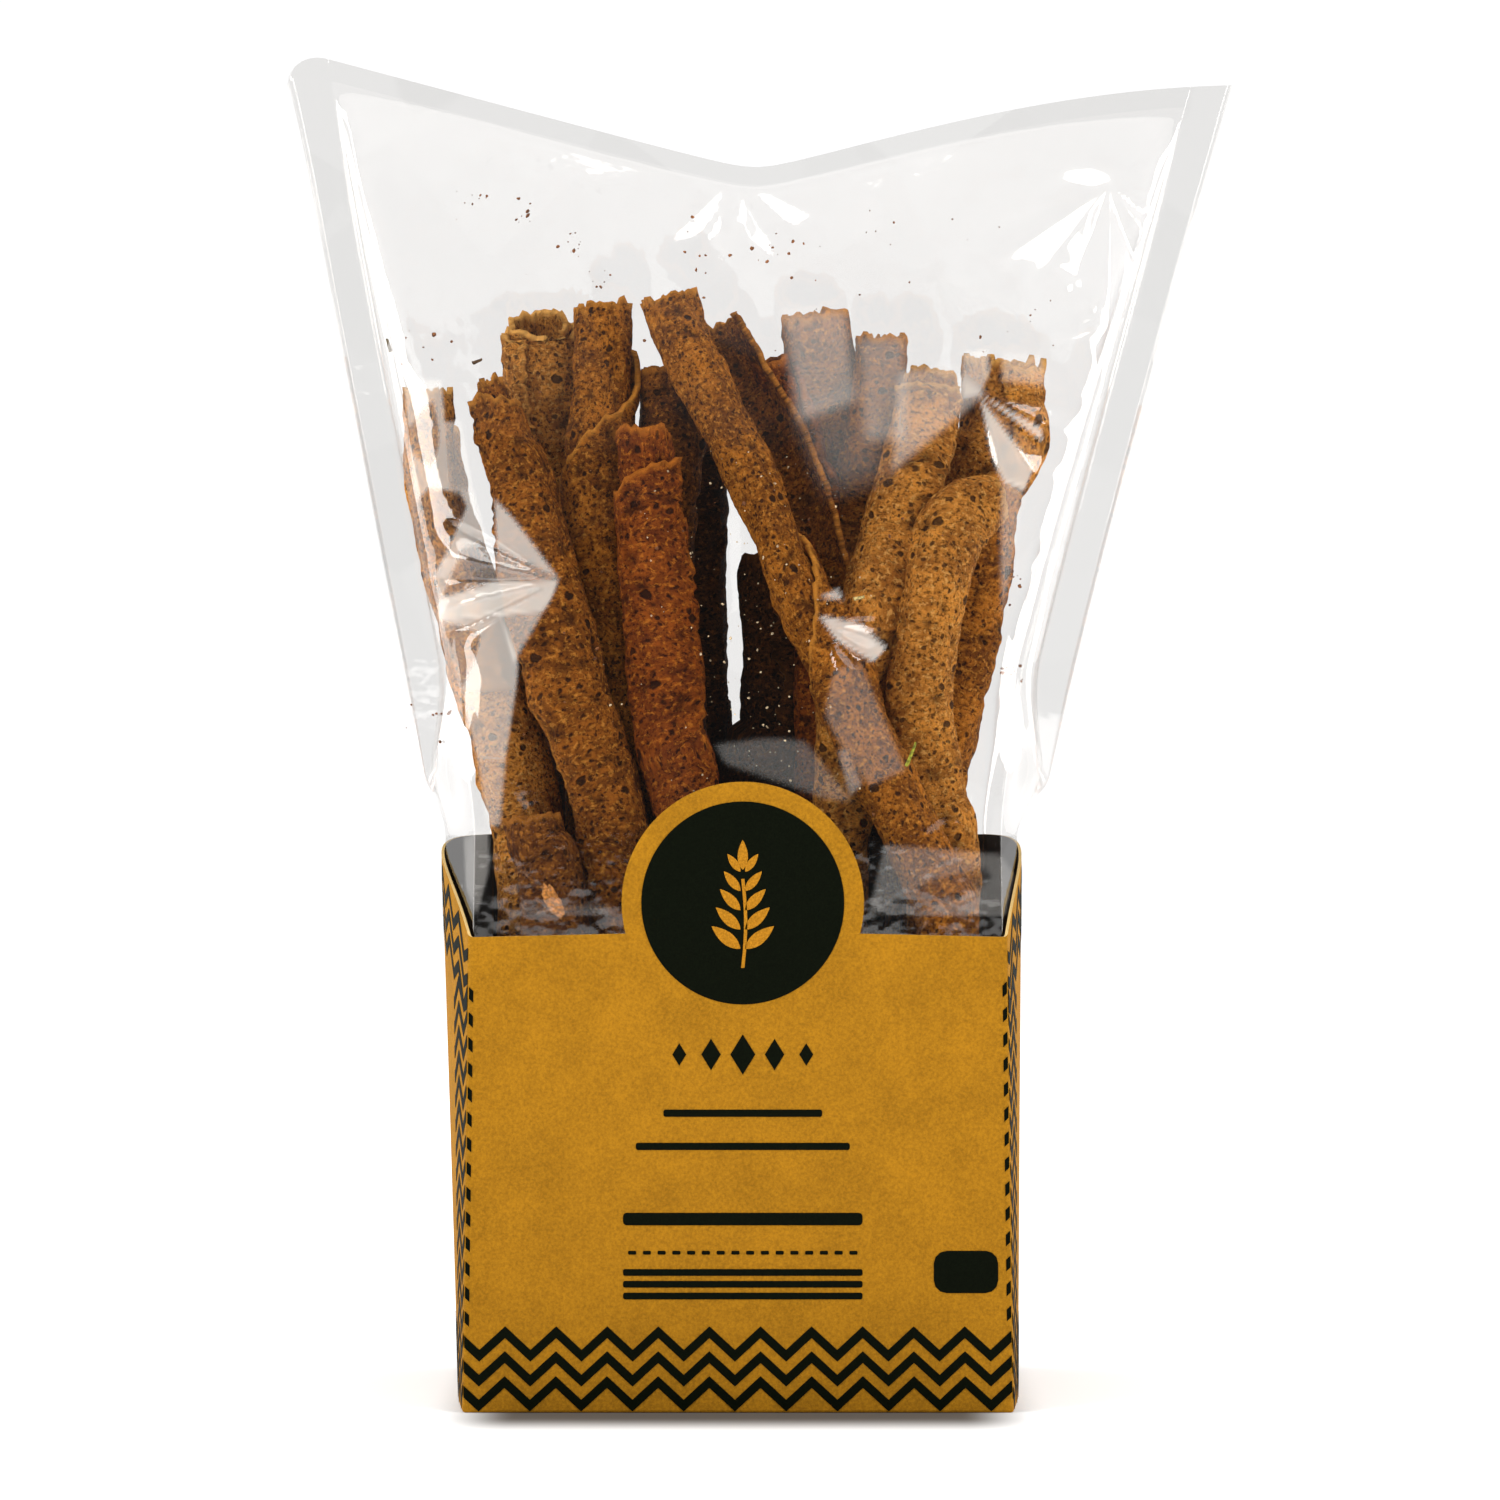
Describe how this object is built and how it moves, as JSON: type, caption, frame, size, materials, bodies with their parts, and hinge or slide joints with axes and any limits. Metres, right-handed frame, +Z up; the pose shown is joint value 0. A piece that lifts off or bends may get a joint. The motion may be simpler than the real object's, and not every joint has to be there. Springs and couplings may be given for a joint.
{
  "type": "bagged pack of grissini breadsticks",
  "caption": "Pack of rolled buckwheat breadsticks standing in a clear sealed film bag, held by a kraft card tray with a round badge.",
  "frame": {"origin": "centre of the tray's base, on the surface that the pack stands on", "axes": "+Z up, -Y out of the front panel with the badge, +X to the right seen from the front"},
  "size_m": [0.204, 0.082, 0.2871],
  "materials": {
    "kraft_card": "uncoated kraft board, printed in black",
    "clear_film": "clear glossy film",
    "breadstick": "dry baked buckwheat crumb, porous"
  },
  "bodies": {
    "root": {"card_tray": "kraft_card", "film_bag": "clear_film"}
  },
  "joints": []
}
